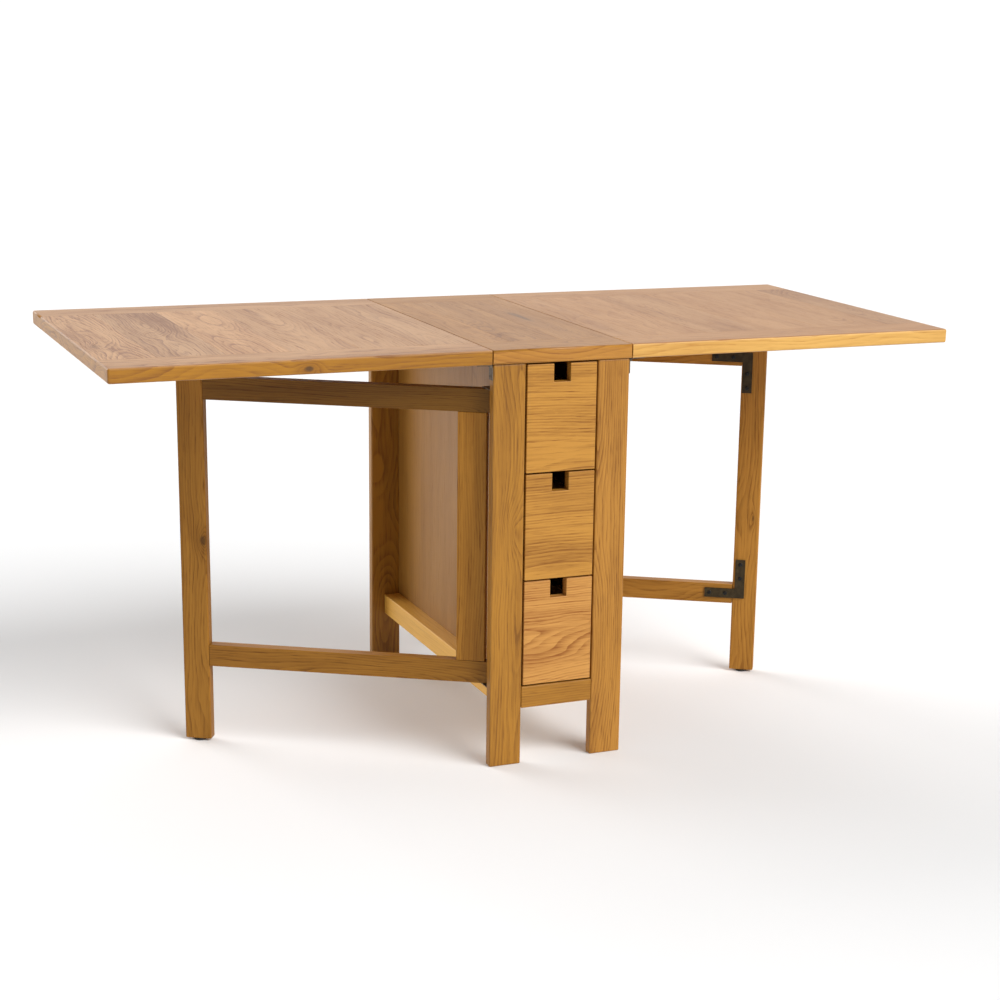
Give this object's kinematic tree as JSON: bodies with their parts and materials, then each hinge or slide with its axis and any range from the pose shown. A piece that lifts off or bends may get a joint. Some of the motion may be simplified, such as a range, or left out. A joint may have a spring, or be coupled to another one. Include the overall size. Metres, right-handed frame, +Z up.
{
  "type": "gateleg table",
  "caption": "Drop leaf dining table in oak: narrow centre carcass with stacked drawers pulled by square finger notches, and a hinged leaf each side held up by a swinging gate leg.",
  "frame": {"origin": "on the floor under the middle of the top", "axes": "+X along the table's length, +Y from the drawer end to the back end, +Z up"},
  "size_m": [1.6, 0.702, 0.77],
  "materials": {
    "oak_top": "satin lacquer",
    "oak_frame": "satin lacquer",
    "oak_drawer": "satin lacquer",
    "oak_panel": "satin veneer",
    "drawer_wood": "plain",
    "bronze_paint": "dark bronze, satin",
    "hinge_steel": "satin",
    "glide_black": "matte"
  },
  "bodies": {
    "carcass": {"hinge_back_L_fixed": "hinge_steel", "hinge_back_R_fixed": "hinge_steel", "hinge_front_L_fixed": "hinge_steel", "hinge_front_R_fixed": "hinge_steel", "panel_back": "oak_panel", "panel_side_L": "oak_panel", "panel_side_R": "oak_panel", "pivot_L_low": "hinge_steel", "pivot_L_top": "hinge_steel", "pivot_R_low": "hinge_steel", "pivot_R_top": "hinge_steel", "post_back_L": "oak_frame", "post_back_R": "oak_frame", "post_front_L": "oak_frame", "post_front_R": "oak_frame", "rail_back": "oak_frame", "rail_front": "oak_frame", "rail_side_L": "oak_frame", "rail_side_R": "oak_frame", "shelf_1": "drawer_wood", "shelf_2": "drawer_wood", "shelf_3": "drawer_wood", "top_centre": "oak_top"},
    "leaf_left": {"hinge_back_L_leaf": "hinge_steel", "hinge_front_L_leaf": "hinge_steel", "leaf_L": "oak_top"},
    "leaf_right": {"hinge_back_R_leaf": "hinge_steel", "hinge_front_R_leaf": "hinge_steel", "leaf_R": "oak_top"},
    "gate_left": {"gate_L_corner_low": "bronze_paint", "gate_L_corner_top": "bronze_paint", "gate_L_glide": "glide_black", "gate_L_leg": "oak_frame", "gate_L_rail_low": "oak_frame", "gate_L_rail_top": "oak_frame", "gate_L_stile": "oak_frame"},
    "gate_right": {"gate_R_corner_low": "bronze_paint", "gate_R_corner_top": "bronze_paint", "gate_R_glide": "glide_black", "gate_R_leg": "oak_frame", "gate_R_rail_low": "oak_frame", "gate_R_rail_top": "oak_frame", "gate_R_stile": "oak_frame"},
    "drawer_1": {"drawer_1_back": "drawer_wood", "drawer_1_base": "drawer_wood", "drawer_1_front": "oak_drawer", "drawer_1_side_L": "drawer_wood", "drawer_1_side_R": "drawer_wood"},
    "drawer_2": {"drawer_2_back": "drawer_wood", "drawer_2_base": "drawer_wood", "drawer_2_front": "oak_drawer", "drawer_2_side_L": "drawer_wood", "drawer_2_side_R": "drawer_wood"},
    "drawer_3": {"drawer_3_back": "drawer_wood", "drawer_3_base": "drawer_wood", "drawer_3_front": "oak_drawer", "drawer_3_side_L": "drawer_wood", "drawer_3_side_R": "drawer_wood"}
  },
  "joints": [
    {"name": "leaf_left_hinge", "type": "hinge", "parent": "carcass", "child": "leaf_left", "pos_m": [-0.1345, 0, 0.7405], "axis": [0, 1, 0], "range_deg": [0, 3.5]},
    {"name": "leaf_right_hinge", "type": "hinge", "parent": "carcass", "child": "leaf_right", "pos_m": [0.1345, 0, 0.7405], "axis": [0, -1, 0], "range_deg": [0, 3.5]},
    {"name": "gate_left_pivot", "type": "hinge", "parent": "carcass", "child": "gate_left", "pos_m": [-0.12, -0.297, 0.149], "axis": [0, 0, 1], "range_deg": [-58.3, 25]},
    {"name": "gate_right_pivot", "type": "hinge", "parent": "carcass", "child": "gate_right", "pos_m": [0.12, 0.297, 0.149], "axis": [0, 0, 1], "range_deg": [-58.3, 25]},
    {"name": "drawer_1_slide", "type": "slide", "parent": "carcass", "child": "drawer_1", "axis": [0, -1, 0], "range_m": [0, 0.4]},
    {"name": "drawer_2_slide", "type": "slide", "parent": "carcass", "child": "drawer_2", "axis": [0, -1, 0], "range_m": [0, 0.4]},
    {"name": "drawer_3_slide", "type": "slide", "parent": "carcass", "child": "drawer_3", "axis": [0, -1, 0], "range_m": [0, 0.4]}
  ]
}
